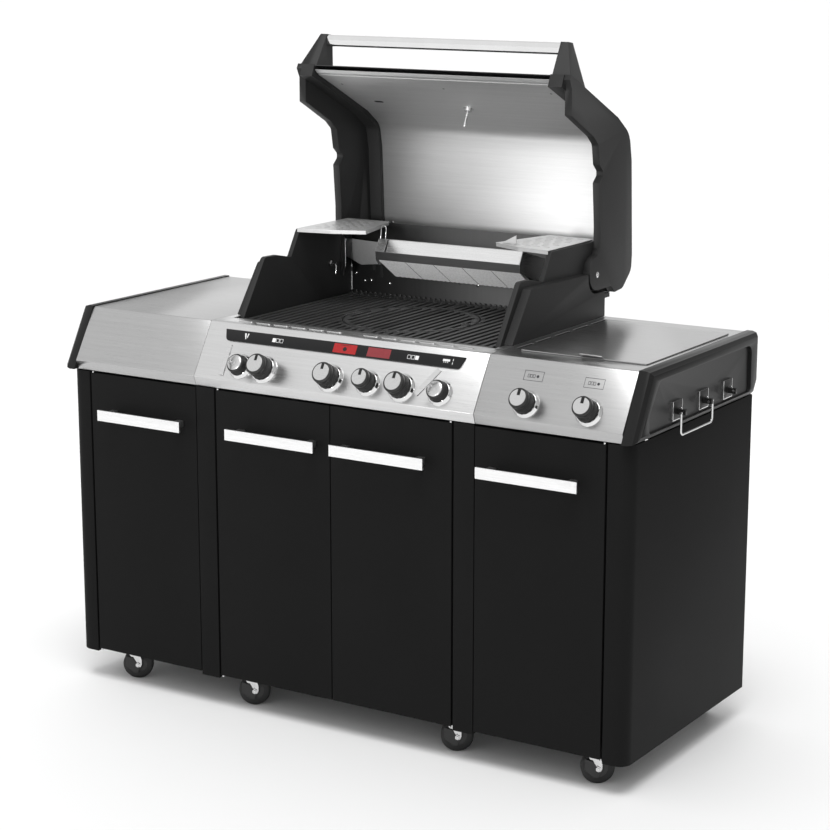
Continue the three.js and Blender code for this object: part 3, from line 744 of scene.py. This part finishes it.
def buildKnobs():
    for name, radius in burnerKnobs.items():
        buildBurnerKnob(name, radius)
    for name, turn in leverKnobs.items():
        buildLeverKnob(name, turn)


capLook = {"edge": 1.6, "plateProud": 15, "plates": (185, 316, 442), "plateHalf": 21, "rim": 2.2,
           "rimHeight": (807, 849), "hookHeight": 830, "hookRadius": 4.4, "hookWire": 1.1,
           "wire": 2.5, "bailX": 789, "bailY": (171, 328), "bailLow": 777, "bailTop": 825, "bailBend": 9}


def wireRound(radius, wire):  # the section of a round wire bent into a ring
    return [(radius + wire * math.cos(a), wire * math.sin(a)) for a in (k * math.pi / 4 for k in range(8))]


def dressEndCaps():
    look = capLook
    for node in ["left_end_cap", "right_end_cap"]:
        softened(node, capPaint, look["edge"], 3)
    rims = Shape()
    outer = boxOf("right_side_panel")[1].x + look["plateProud"]
    rim, half, (low, high) = look["rim"], look["plateHalf"], look["rimHeight"]
    for y in look["plates"]:
        for y0, y1, z0, z1 in ((y - half, y + half, high - 2, high - 2 + rim),
                               (y - half, y + half, low + 2 - rim, low + 2),
                               (y - half - rim, y - half, low, high), (y + half, y + half + rim, low, high)):
            rims.block((outer - 7, y0, z0), (outer - 0.5, y1, z1))
        rims.hoop(wireRound(look["hookRadius"], look["hookWire"]),
                  at(outer + 5.5, y, look["hookHeight"], facingFront), 24)
    rims.piece("hook_plate_rims", "cabinet", wireChrome, "chrome", 0.4)
    x, (y0, y1), top = look["bailX"], look["bailY"], look["bailTop"]
    bend, wire = look["bailBend"], look["wire"]
    path = [(x, y0, top)] + [(x, y, z) for y, z in arc(y0 + bend, look["bailLow"] + bend, bend, 180, 270, 6)]
    path += [(x, y, z) for y, z in arc(y1 - bend, look["bailLow"] + bend, bend, 270, 360, 6)] + [(x, y1, top)]
    bail = Shape()
    bail.tube(path, wire, 14)
    for y in (y0 - wire, y1 - 19.5):
        bail.tube([(x, y, top), (x, y + 22, top)], wire, 14)
    bail.piece("wire_bail_loop", "wire_bail", wireChrome, "chrome", angle=50, replaced=["wire_bail"])


sideBurnerLook = {"lidEdge": 0.8, "burnerEdge": 0.8, "ports": 36, "port": [(51, -0.9, 888), (52.4, 0.9, 895)],
                  "cap": [(46, 896), (47, 899), (45, 902.5), (20, 905), (0.4, 905.4)]}


def dressSideBurner():
    look = sideBurnerLook
    softened("side_burner_lid", topSteel, look["lidEdge"])
    softened("side_burner", ironGrate, look["burnerEdge"])
    low, high = boxOf("side_burner")
    centre = (low + high) / 2
    seat = at(centre.x, centre.y, 0)
    cap = Shape()
    cap.turned(look["cap"], seat, 48)
    cap.piece("side_burner_cap", "cabinet", ironGrate, "cast_iron", angle=40)
    # the ports are black blocks round the burner: painted shade standing for the dark port openings
    ports = Shape()
    for k in range(look["ports"]):
        ports.block(*look["port"], seat @ Matrix.Rotation(2 * math.pi * k / look["ports"], 4, "Z"))
    ports.piece("side_burner_ports", "cabinet", blackPaintAndShade, "cast_iron")


fireboxLook = {"edge": 2.6, "tubEdge": 0.6, "wall": 603, "screwHead": 4.2,
               "screws": [(-330, 974), (-304, 956), (-285, 959), (-229, 955), (-22, 975), (29, 973),
                          (229, 955), (304, 956)],
               "holes": [(-275, 998, 8), (-252, 985, 12), (-253, 1094, 7), (252, 985, 12)], "holeRadius": 5,
               "teeth": 46, "rackHalf": 334, "rackTop": 926, "rack": [(598, 918), (603, 926.2)],
               "pinAt": (344, 510, 1010), "pin": [(7, 0), (7, 2), (3, 3), (2.4, 16), (0.3, 17)],
               "pinWire": [(330, 510, 1010), (326, 508, 1003), (326, 506, 985)], "pinWireRadius": 1.6}


def dressFirebox():
    look = fireboxLook
    for node in ["firebox_left_side", "firebox_right_side"]:
        softened(node, castBlack, look["edge"], 3)
    softened("firebox_tub", wallSteel, look["tubEdge"])
    addScrews("rear_wall_screws", "cabinet", [at(x, look["wall"], z, facingFront) for x, z in look["screws"]],
              head=look["screwHead"])
    holes = Shape()  # slots in the rear wall, drawn as black patches of painted shade for the openings: middle, and half the straight part of each
    inWall = at(0, look["wall"] + 0.4, 0, Matrix.Rotation(math.radians(-90), 4, "X"))
    for x, z, reach in look["holes"]:
        holes.prism(arc(x, -z - reach, look["holeRadius"], 0, -180, 8)[::-1]
                    + arc(x, -z + reach, look["holeRadius"], 180, 0, 8)[::-1], -0.4, 0.4, inWall)
    holes.piece("rear_wall_holes", "cabinet", blackPaintAndShade, "powder_coat")
    rack = Shape()
    half = look["rackHalf"]
    for k in range(look["teeth"]):
        x = -half + 2 * half * (k + 0.5) / look["teeth"]
        rack.prism([(x - 4, 0), (x + 4, 0), (x + 2, 5), (x - 2, 5)], 0, 2,
                   at(0, 600, look["rackTop"], facingFront))
    (y0, z0), (y1, z1) = look["rack"]
    rack.block((-half, y0, z0), (half, y1, z1))
    rack.piece("rear_rack_teeth", "cabinet", wallSteel, "brushed_steel", 0.4)
    for side, name, turn in ((-1, "left", facingRight), (1, "right", facingLeft)):
        x, y, z = look["pinAt"]
        pin = Shape()
        pin.turned(look["pin"], at(side * x, y, z, turn), 20)
        pin.tube([(side * x, y, z) for x, y, z in look["pinWire"]], look["pinWireRadius"], 10)
        pin.piece(name + "_spit_pin", "cabinet", wireChrome, "chrome", angle=50)


# Lines of the hood's folded steel as (y, z); the brackets' corners are mirrored to both sides.
burnerLook = {"hoodHalf": 203, "backHalf": 238, "skin": 1.4, "slotAt": -176, "slotHalf": 2,
              "ridge": (516, 1081), "edge": (500, 1052), "lip": (503, 1031), "wall": (600, 1049),
              "endLow": 1010, "endStep": 18, "endFront": 545, "faceTop": (507, 1031), "faceFoot": (588, 977),
              "faceInset": 3, "faceThick": 8, "teeth": 60, "toothDepth": 3, "tiles": 5,
              "bracketSkin": 1.5, "outerBracket": [(342, 575, 1066), (342, 575, 1020), (300, 582, 1000)],
              "sideBracket": [(342, 560, 1078), (322, 545, 1070), (318, 540, 1000), (330, 545, 975),
                              (342, 552, 1010)],
              "loopAt": (-194, 1106), "loopRadius": 7, "loopWire": 1.3}


def facet(shape, corners, thickness):  # a flat sheet with the given corners
    points = [Vector(corner) for corner in corners]
    normal = (points[1] - points[0]).cross(points[2] - points[0]).normalized() * thickness
    shape.loft([shape.ring(points, grill), shape.ring([point + normal for point in points], grill)])


def buildRearBurner():
    look = burnerLook
    front, back, skin = look["hoodHalf"], look["backHalf"], look["skin"]
    ridge, edge, lip, wall = look["ridge"], look["edge"], look["lip"], look["wall"]
    hood = Shape()
    for x0, x1 in ((-front, look["slotAt"] - look["slotHalf"]), (look["slotAt"] + look["slotHalf"], front)):
        facet(hood, [(x0, *ridge), (x1, *ridge), (x1, *edge), (x0, *edge)], skin)
    facet(hood, [(-front, *ridge), (front, *ridge), (back, *wall), (-back, *wall)], skin)
    hood.piece("rear_burner_hood", "cabinet", hoodSteel, "brushed_steel", 0.4, 2, replaced=["rear_burner"])
    band = Shape()
    facet(band, [(-front, *edge), (front, *edge), (front, *lip), (-front, *lip)], skin)
    band.piece("rear_burner_band", "cabinet", bronzeSteel, "brushed_steel", 0.4)
    ends = Shape()
    low = look["endLow"]
    for side in (-1, 1):
        facet(ends, [(side * front, *ridge), (side * front, *edge), (side * front, *lip),
                     (side * (front + look["endStep"]), look["endFront"], low), (side * back, wall[0], low),
                     (side * back, *wall)], skin * side)
    ends.piece("rear_burner_ends", "cabinet", hoodSteel, "brushed_steel", 0.4)

    top, foot = look["faceTop"], look["faceFoot"]
    slope = math.atan2(top[1] - foot[1], foot[0] - top[0])
    reach = math.hypot(foot[0] - top[0], foot[1] - top[1])
    inFace = at(0, *top, Matrix.Rotation(-slope, 4, "X"))
    half, teeth = front - look["faceInset"], look["teeth"]
    lower = [(half - 2 * half * k / teeth, reach - (0 if k % 2 else look["toothDepth"]))
             for k in range(teeth + 1)]
    face = Shape()
    face.prism([(-half, 0), (half, 0)] + lower, 0, look["faceThick"], inFace)
    face.piece("ceramic_face", "cabinet", ceramic, "cast_iron", 0.2)
    joints = Shape()  # slanting joints between the ceramic tiles
    for k in range(1, look["tiles"]):
        x = -front + 2 * front * k / look["tiles"]
        joints.prism([(x - 1, 2), (x + 0.2, 2), (x + 3.2, reach - 5), (x + 2, reach - 5)], -0.25, 0.1, inFace)
    joints.piece("ceramic_joints", "cabinet", blackPaintAndShade, "cast_iron")

    brackets = Shape()
    outer = [(back - 2, 585, 1060)] + look["outerBracket"] + [(back - 2, 590, 1006)]
    for side in (-1, 1):
        for corners in (outer, look["sideBracket"]):
            facet(brackets, [(side * x, y, z) for x, y, z in corners], look["bracketSkin"] * side)
    brackets.piece("rear_burner_brackets", "cabinet", plainSteel, "brushed_steel", 0.4)
    middle, height = look["loopAt"]
    bend = look["loopRadius"]
    loop = Shape()
    loop.tube([(middle - bend, 520, 1076)] + [(x, 524, z) for x, z in arc(middle, height, bend, 180, 0, 8)]
              + [(middle + bend, 520, 1076)], look["loopWire"], 10)
    loop.piece("sensor_loop", "cabinet", wireChrome, "chrome", 0.2)


plateLook = {"outline": [(350, 374), (262, 390), (182, 426), (226, 598), (350, 598)], "deck": (1111.6, 1113),
             "slotRows": 9, "firstRow": 420, "rowPitch": 19, "inner": 206, "splay": 0.25, "splayFrom": 440,
             "stagger": 10, "outer": 340, "slot": 18, "slotPitch": 26, "slotWidth": 5, "slotRadius": 2.4,
             "slotDepth": (1105, 1120),
             "lipLine": [(349, 375), (262.5, 391), (183, 427), (226.5, 597)], "lipHalf": 0.7,
             "lip": (1104, 1112), "gusset": [(198, 1113), (238, 1113), (238, 1134)], "gussetAt": 424}


def buildWarmingPlates():
    look = plateLook
    for side, name in ((-1, "left_warming_plate"), (1, "right_warming_plate")):
        outline = [(side * x, y) for x, y in look["outline"]]
        plate = Shape()
        plate.prism(outline if side > 0 else outline[::-1], *look["deck"])
        slots = Shape()
        for row in range(look["slotRows"]):
            y = look["firstRow"] + row * look["rowPitch"]
            x = look["inner"] + max(0, y - look["splayFrom"]) * look["splay"] + look["stagger"] * (row % 2)
            while x + 20 < look["outer"]:
                left, right = sorted((side * x, side * (x + look["slot"])))
                slots.prism(roundedBox(left, right, y, y + look["slotWidth"], look["slotRadius"], 3),
                            *look["slotDepth"])
                x += look["slotPitch"]
        plate.piece(name + "_deck", "cabinet", plateSteel, "brushed_steel", 0, replaced=[name], cutter=slots)
        lips = Shape()
        path = [Vector((side * x, y)) for x, y in look["lipLine"]]
        for start, end in zip(path, path[1:]):
            along = (end - start).normalized()
            out = Vector((-along.y, along.x)) * look["lipHalf"]
            lips.prism([(p.x, p.y) for p in (start - out, end - out, end + out, start + out)], *look["lip"])
        if side > 0:
            lips.prism(look["gusset"], -1.4, 0, at(0, look["gussetAt"], 0, facingFront))
        lips.piece(name + "_lips", "cabinet", plateSteel, "brushed_steel", 0.2)


grateLook = {"edge": 1.3, "burnerEdge": 1.6, "tamerEdge": 0.5, "trayEdge": 0.9, "lugRadius": 9,
             "lugWire": 2.6, "lug": (150, 345, 926.5)}


def dressGrates():
    look = grateLook
    for node in ["left_grate", "right_grate", "round_grate_insert"]:
        softened(node, ironGrate, look["edge"], 3)
    lugs = Shape()
    x, y, z = look["lug"]
    for side in (-1, 1):
        lugs.hoop(wireRound(look["lugRadius"], look["lugWire"]), at(side * x, y, z), 28)
    lugs.piece("insert_lift_lugs", "cabinet", ironGrate, "cast_iron", angle=50)
    softened("main_burners", plainSteel, look["burnerEdge"])
    softened("flame_tamers", plainSteel, look["tamerEdge"])
    softened("grease_tray", plainSteel, look["trayEdge"])


# The roof runs from its front to its back line, given as (y, z) with the lid open.
lidLook = {"edge": 2.2, "skinEdge": 0.5, "linerEdge": 0.4, "roof": [(503, 1395), (660, 1470)],
           "lip": [(437, 1484), (426, 1489), (421, 1496)], "lipSkin": 1.5, "lipHalf": 322,
           "dialAt": (0, 603, 1403), "dialRise": 18, "dial": 34, "rim": 4,
           "stem": [(13, -2), (13, 1.2), (9, 2), (9, 8), (7, 9), (3.0, 9.4), (3.0, 44), (1, 47)],
           "ticks": 13, "firstTick": -135, "tickPitch": 22.5, "needleTurn": 120,
           "needle": [(-1.6, -6), (1.6, -6), (0.5, 20), (-0.5, 20)], "hub": [(3, 8), (3, 9.6), (0.3, 10)],
           "slotAt": (-249, 588.4, 1410.2), "slotHalf": 8, "slotRadius": 5,
           "roofScrews": (-290, 0, 290), "backScrews": (-300, 300), "backRows": (1090, 1270),
           "roofRow": (488, 1458.4), "backWall": 728, "screwHead": 3.6, "hinge": (376, 568, 1034),
           "hingeHead": 7.2, "handle": (323.6, 470, 1490), "handleHead": 4.4,
           "stop": [(359, 606, 972), (375, 636, 983)]}


def addThermometer(inward, outward):
    look = lidLook
    stem = Shape()
    stem.turned(look["stem"], at(*look["dialAt"], inward), 36)
    stem.piece("thermometer_stem", "lid", barChrome, "chrome", angle=40)
    seat = at(*look["dialAt"], Matrix.Translation(outward @ Vector((0, 0, look["dialRise"]))) @ outward)
    radius, rim = look["dial"], look["rim"]
    bezel = Shape()
    bezel.hoop([(radius - rim, 0), (radius, 0), (radius, 8), (radius - 1.5, 11), (radius - rim, 11)], seat, 64)
    bezel.piece("thermometer_bezel", "lid", barChrome, "chrome", 0.4)
    face = Shape()
    face.turned([(radius - 3.6, 0), (radius - 3.6, 8), (0.3, 8)], seat, 64)
    face.piece("thermometer_face", "lid", iconWhite, "chrome")
    marks = Shape()
    for k in range(look["ticks"]):
        turned = seat @ Matrix.Rotation(math.radians(look["firstTick"] + look["tickPitch"] * k), 4, "Z")
        marks.block((-0.6, radius - 11, 8), (0.6, radius - 6, 8.3), turned)
    marks.prism(look["needle"], 8.4, 8.9, seat @ Matrix.Rotation(math.radians(look["needleTurn"]), 4, "Z"))
    marks.turned(look["hub"], seat, 20)
    marks.piece("thermometer_ticks", "lid", blackPaintAndShade, "chrome")


def dressLid():
    look = lidLook
    for node in ["lid_left_side", "lid_right_side"]:
        softened(node, castBlack, look["edge"], 3)
    softened("lid_outer_skin", lidEnamel, look["skinEdge"])
    softened("lid_liner", linerSteel, look["linerEdge"])
    softened("lid_handle", barChrome, 0, angle=40)
    lip = Shape()
    lip.sheet(look["lip"], look["lipSkin"], -look["lipHalf"], look["lipHalf"])
    lip.piece("lid_front_lip", "lid", linerSteel, "brushed_steel", 0.3)
    (y0, z0), (y1, z1) = look["roof"]
    slope = math.atan2(z1 - z0, y1 - y0)
    inward = Matrix.Rotation(math.pi - slope, 4, "X")     # local Z looks down into the lid
    outward = Matrix.Rotation(-slope, 4, "X")
    addThermometer(inward, outward)

    # the slot in the liner is a black patch: painted shade for the opening
    hole = Shape()
    half, radius = look["slotHalf"], look["slotRadius"]
    hole.prism(arc(half, 0, radius, -90, 90, 8) + arc(-half, 0, radius, 90, 270, 8), -0.3, 0.5,
               at(*look["slotAt"], inward))
    hole.piece("liner_slot", "lid", blackPaintAndShade, "brushed_steel")
    roof = [at(x, *look["roofRow"], inward) for x in look["roofScrews"]]
    back = [at(x, look["backWall"], z, facingFront) for x in look["backScrews"] for z in look["backRows"]]
    addScrews("liner_screws", "lid", roof + back, head=look["screwHead"])
    x, y, z = look["hinge"]
    addScrews("hinge_pins", "lid", [at(x, y, z, facingRight), at(-x, y, z, facingLeft)],
              head=look["hingeHead"])
    x, y, z = look["handle"]
    addScrews("handle_screws", "lid", [at(-x, y, z, facingRight), at(x, y, z, facingLeft)],
              head=look["handleHead"])
    stops = Shape()
    (x0, y0, z0), (x1, y1, z1) = look["stop"]
    stops.block((-x1, y0, z0), (-x0, y1, z1))
    stops.block((x0, y0, z0), (x1, y1, z1))
    stops.piece("lid_rubber_stops", "lid", wheelRubber, "tyre_rubber", 1.5, 3)


# Sections of the tyre and hub as (radius, depth); "half" is half the wheel's width.
casterLook = {"wheel": 37.5, "half": 12, "turn": -57, "bore": 22, "forkEdge": 0.8, "nut": 6.5, "nutAt": 17.6,
              "nutHeight": 4.5, "axleTip": [(3.4, 4), (3.4, 6.5), (0.4, 7)],
              "hub": [(4.6, 0.5), (10, 0.5), (12, 3), (20, 3.4), (23, 1.2)],
              "cover": [(-14, -12), (12, -12), (30, 8), (30, 18), (18, 22), (-8, 6)], "coverAt": (0, -18, 10),
              "coverDepth": (18.2, 20.4)}


def buildCaster(wheel):
    look = casterLook
    fork = wheel.replace("_wheel", "_fork")
    low, high = boxOf(wheel)
    centre = (low + high) / 2
    stand = at(*centre, Matrix.Rotation(math.radians(look["turn"]), 4, "Z"))  # every caster stands turned
    place = stand @ facingRight
    radius, half, bore = look["wheel"], look["half"], look["bore"]
    tyre = Shape(place)
    tyre.hoop([(bore, 1 - half), (radius - 4, -half), (radius - 1.2, 1.6 - half), (radius, 4.5 - half),
               (radius, half - 4.5), (radius - 1.2, half - 1.6), (radius - 4, half), (bore, half - 1)],
              steps=72)
    tyre.piece(wheel + "_tyre", wheel, wheelRubber, "tyre_rubber", angle=40, replaced=[wheel])
    hub = Shape(place)
    hub.hoop([(r, depth - half) for r, depth in look["hub"]]
             + [(r, half - depth) for r, depth in reversed(look["hub"])], steps=48)
    hub.piece(wheel + "_hub", wheel, hubPlastic, "tyre_rubber", angle=40)
    softened(fork, wireChrome, look["forkEdge"])
    nuts = Shape()
    for side, turn in ((-1, facingLeft), (1, facingRight)):
        seat = stand @ Matrix.Translation((side * look["nutAt"], 0, 0)) @ turn
        nuts.prism([(look["nut"] * math.cos(a), look["nut"] * math.sin(a))
                    for a in (math.radians(60 * k) for k in range(6))], 0, look["nutHeight"], seat)
        nuts.turned(look["axleTip"], seat, 20)
    nuts.piece(fork + "_nuts", fork, wireChrome, "chrome", 0.5)
    cover = Shape()
    cover.prism(look["cover"], *look["coverDepth"], stand @ Matrix.Translation(look["coverAt"]) @ facingRight)
    cover.piece(fork + "_cover", fork, hubPlastic, "tyre_rubber", 0.8)


dressCabinet()
print("cabinet and doors done")
dressWorktop()
printIcons()
buildKnobs()
print("control panel done")
dressEndCaps()
dressSideBurner()
print("end caps and side burner done")
dressFirebox()
buildRearBurner()
buildWarmingPlates()
dressGrates()
print("firebox done")
dressLid()
print("lid done")
for node in list(frame["nodes"]):
    if node.endswith("_caster_wheel"):
        buildCaster(node)
print("casters done")


# A lamp's row: name, kind, place, what it looks at, its size (degrees for the sun and the spot) and power.
studio = {"cameraPlace": (2.736, -4.338, 1.852), "azimuth": 32.27, "elevation": 12.73, "lens": 95.4,
          "sensor": 36.0, "floorSize": 3000.0, "floorColour": 0.9, "floorDim": 0.985, "floorRoughness": 0.6,
          "brightSide": (-0.6, -1.0, 0.15), "airRange": (-0.8, 0.7), "airDim": 0.46, "airBright": 0.98,
          "backdrop": 0.95, "spotBlend": 0.7, "spotSoft": 0.3,
          "lamps": [("high key", "SUN", (0.7, -1.2, 5.0), (0, 0, 0.6), 30, 1.5),
                    ("back soft", "AREA", (-1.6, 3.6, 2.6), (0, 0, 0.9), 3.4, 20),
                    ("lid fill", "SPOT", (0.0, -3.9, 1.5), (-0.06, 0.5, 1.15), 15, 330)]}


def aim(thing, place, direction):
    thing.location = place
    thing.rotation_mode = "QUATERNION"
    thing.rotation_quaternion = direction.to_track_quat("-Z", "Y")


def buildCamera():
    shot = bpy.data.cameras.new("camera")
    shot.lens = studio["lens"]
    shot.sensor_width = studio["sensor"]
    shot.clip_end = studio["floorSize"]
    camera = addToScene("camera", shot)
    turn, rise = math.radians(studio["azimuth"]), math.radians(studio["elevation"])
    back = Vector((math.sin(turn) * math.cos(rise), -math.cos(turn) * math.cos(rise), math.sin(rise)))
    aim(camera, studio["cameraPlace"], -back)
    bpy.context.scene.camera = camera


def buildFloor():
    bm = bmesh.new()
    half = studio["floorSize"] / 2
    bm.faces.new([bm.verts.new((x * half, y * half, 0)) for x, y in ((-1, -1), (1, -1), (1, 1), (-1, 1))])
    mesh = bpy.data.meshes.new("floor")
    bm.to_mesh(mesh)
    bm.free()
    floor = addToScene("floor", mesh)
    paint = Finish("studio floor", Roughness=studio["floorRoughness"])
    paint.set(basecolor=paint.blend(paint.noise(2.0), studio["floorColour"] * studio["floorDim"],
                                    studio["floorColour"]))
    mesh.materials.append(paint.material)


def buildAir():  # soft light from all round, brighter from the left front
    world = bpy.data.worlds.new("studio air")
    world.use_nodes = True
    bpy.context.scene.world = world
    air = Nodes(world.node_tree)
    look = air.add("ShaderNodeTexCoord", output="Generated")
    toFront = air.add("ShaderNodeVectorMath", {"operation": "DOT_PRODUCT"},
                      {0: look, 1: Vector(studio["brightSide"]).normalized()}, output="Value")
    low, high = studio["airRange"]
    ramp = air.add("ShaderNodeMapRange", {"interpolation_type": "SMOOTHSTEP"},
                   {"Value": toFront, "From Min": low, "From Max": high, "To Min": studio["airDim"],
                    "To Max": studio["airBright"]})
    soft = air.add("ShaderNodeBackground", {}, {"Color": ramp})
    plain = air.add("ShaderNodeBackground", {}, {"Color": greyShade(studio["backdrop"])})
    seen = air.add("ShaderNodeLightPath", output="Is Camera Ray")  # behind the floor's edge the air is plain
    choice = air.add("ShaderNodeMixShader", {}, {0: seen, 1: soft, 2: plain})
    air.plug(air.tree.nodes["World Output"].inputs["Surface"], choice)


def hangLamps():
    for name, kind, place, target, size, power in studio["lamps"]:
        lamp = bpy.data.lights.new(name, kind)
        lamp.energy = power
        if kind == "SUN":
            lamp.angle = math.radians(size)
        elif kind == "SPOT":
            lamp.spot_size = math.radians(size)
            lamp.spot_blend = studio["spotBlend"]
            lamp.shadow_soft_size = studio["spotSoft"]
        else:
            lamp.size = size
        aim(addToScene(name, lamp), place, Vector(target) - Vector(place))


buildCamera()
buildFloor()
buildAir()
hangLamps()
bpy.context.scene.view_settings.view_transform = "Standard"
print("studio built")
